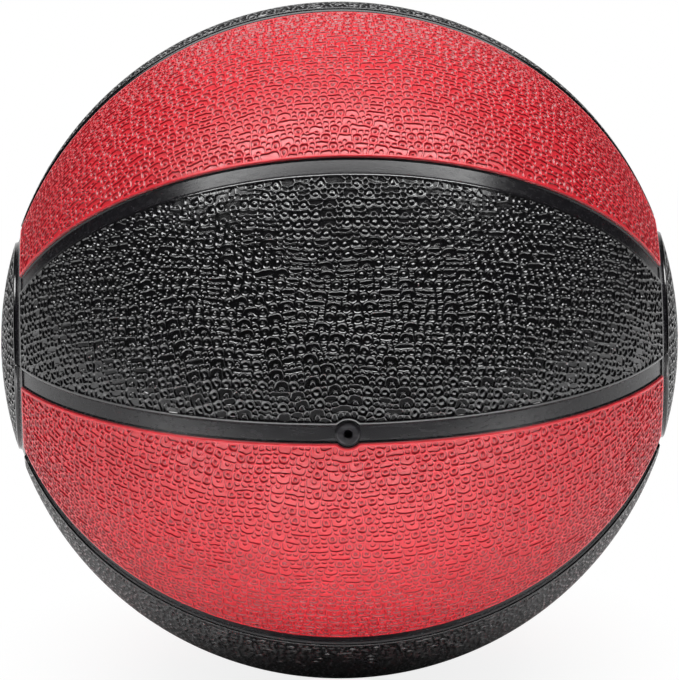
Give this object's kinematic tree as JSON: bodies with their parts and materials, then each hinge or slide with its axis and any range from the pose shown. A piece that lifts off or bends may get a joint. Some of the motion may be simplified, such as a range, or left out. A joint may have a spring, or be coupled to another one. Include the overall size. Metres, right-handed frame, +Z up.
{
  "type": "medicine ball",
  "caption": "Round inflatable medicine ball of thick rubber, with pebbled gores in two colours, sunken seams, a round cap at each end and a needle valve in a seam.",
  "frame": {"origin": "centre of the ball", "axes": "+X through the middle of the right end cap, -Y out through the needle valve, +Z up"},
  "size_m": [0.2286, 0.2284, 0.2284],
  "materials": {
    "black_cover": "satin, pebbled",
    "red_cover": "satin, pebbled",
    "seam_rubber": "smooth satin",
    "valve_rubber": "smooth matte",
    "carcass_rubber": "matte",
    "bladder_rubber": "matte"
  },
  "bodies": {
    "root": {"bladder": "bladder_rubber", "carcass_front": "carcass_rubber", "carcass_rear": "carcass_rubber", "valve_body": "valve_rubber", "valve_core": "valve_rubber", "end_cap_left": "black_cover", "end_cap_right": "black_cover", "ring_strip_left": "seam_rubber", "ring_strip_right": "seam_rubber", "gore_black_front": "black_cover", "gore_red_upper_front": "red_cover", "gore_black_upper_rear": "black_cover", "gore_red_rear": "red_cover", "gore_black_rear": "black_cover", "gore_red_lower_rear": "red_cover", "gore_black_lower_front": "black_cover", "gore_red_front": "red_cover", "seam_strip_front": "seam_rubber", "seam_strip_front_upper": "seam_rubber", "seam_strip_top": "seam_rubber", "seam_strip_rear_upper": "seam_rubber", "seam_strip_rear": "seam_rubber", "seam_strip_rear_lower": "seam_rubber", "seam_strip_bottom": "seam_rubber", "seam_strip_front_lower": "seam_rubber"}
  },
  "joints": []
}
